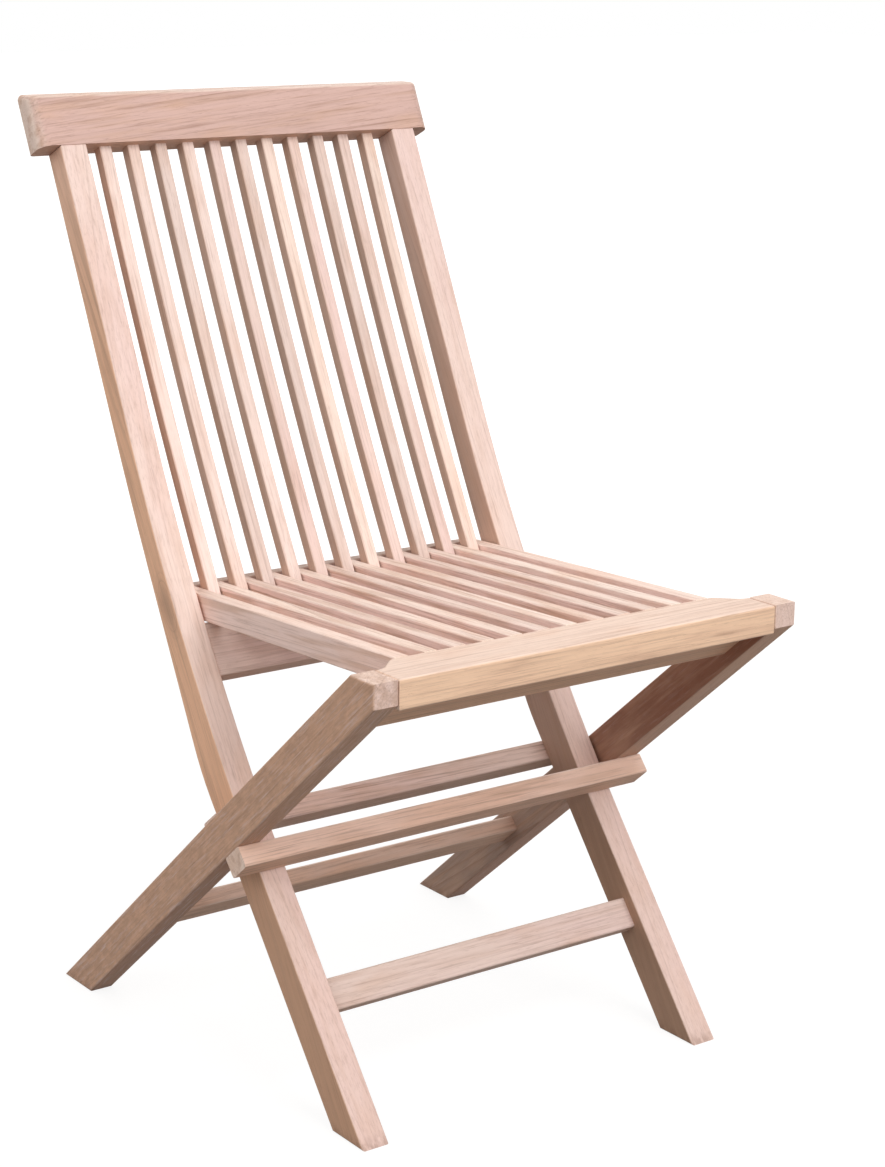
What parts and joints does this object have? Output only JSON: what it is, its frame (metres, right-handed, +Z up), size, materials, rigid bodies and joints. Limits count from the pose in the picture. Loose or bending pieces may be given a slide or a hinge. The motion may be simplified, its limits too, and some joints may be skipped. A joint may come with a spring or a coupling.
{
  "type": "folding chair",
  "caption": "Folding teak garden chair with a vertically slatted raked back, a slatted seat, crossed legs, stretchers and a stop bar.",
  "frame": {"origin": "centre of the footprint on the floor", "axes": "+Z up, the sitter faces -Y, +X across the width to the viewer's right when looking along +Y"},
  "size_m": [0.46, 0.605, 0.862],
  "materials": {
    "teak": "bare sanded teak, unoiled, slightly pinkish tan",
    "dowel_wood": "plain turned dowel",
    "pin_steel": "plain",
    "washer_brass": "plain"
  },
  "bodies": {
    "back_frame": {"left_stile": "teak", "right_stile": "teak", "crest_rail": "teak", "lower_back_rail": "teak", "back_slat_01": "teak", "back_slat_02": "teak", "back_slat_03": "teak", "back_slat_04": "teak", "back_slat_05": "teak", "back_slat_06": "teak", "back_slat_07": "teak", "back_slat_08": "teak", "back_slat_09": "teak", "back_slat_10": "teak", "back_slat_11": "teak", "front_stretcher": "teak", "upper_rear_stretcher": "teak", "stretcher_dowels": "dowel_wood", "crossing_pins": "pin_steel", "crossing_washers": "washer_brass"},
    "leg_frame": {"left_short_leg": "teak", "right_short_leg": "teak", "stop_bar": "teak", "stop_bar_dowels": "dowel_wood", "lower_rear_stretcher": "teak", "upper_leg_stretcher": "teak"},
    "seat": {"front_rail": "teak", "left_side_rail": "teak", "right_side_rail": "teak", "seat_slat_01": "teak", "seat_slat_02": "teak", "seat_slat_03": "teak", "seat_slat_04": "teak", "seat_slat_05": "teak", "seat_slat_06": "teak", "seat_slat_07": "teak", "seat_slat_08": "teak", "seat_slat_09": "teak", "seat_slat_10": "teak", "seat_rear_rail": "teak", "seat_pins": "pin_steel"}
  },
  "joints": [
    {"name": "leg_fold", "type": "hinge", "parent": "back_frame", "child": "leg_frame", "pos_m": [0, -0.04691, 0.222], "axis": [-1, 0, 0], "range_deg": [0, 65]},
    {"name": "seat_fold", "type": "hinge", "parent": "leg_frame", "child": "seat", "pos_m": [0, -0.28446, 0.4205], "axis": [1, 0, 0], "range_deg": [0, 107.1]}
  ],
  "couplings": [
    {"joint": "seat_fold", "follows": "leg_fold", "ratio": 1.64}
  ]
}
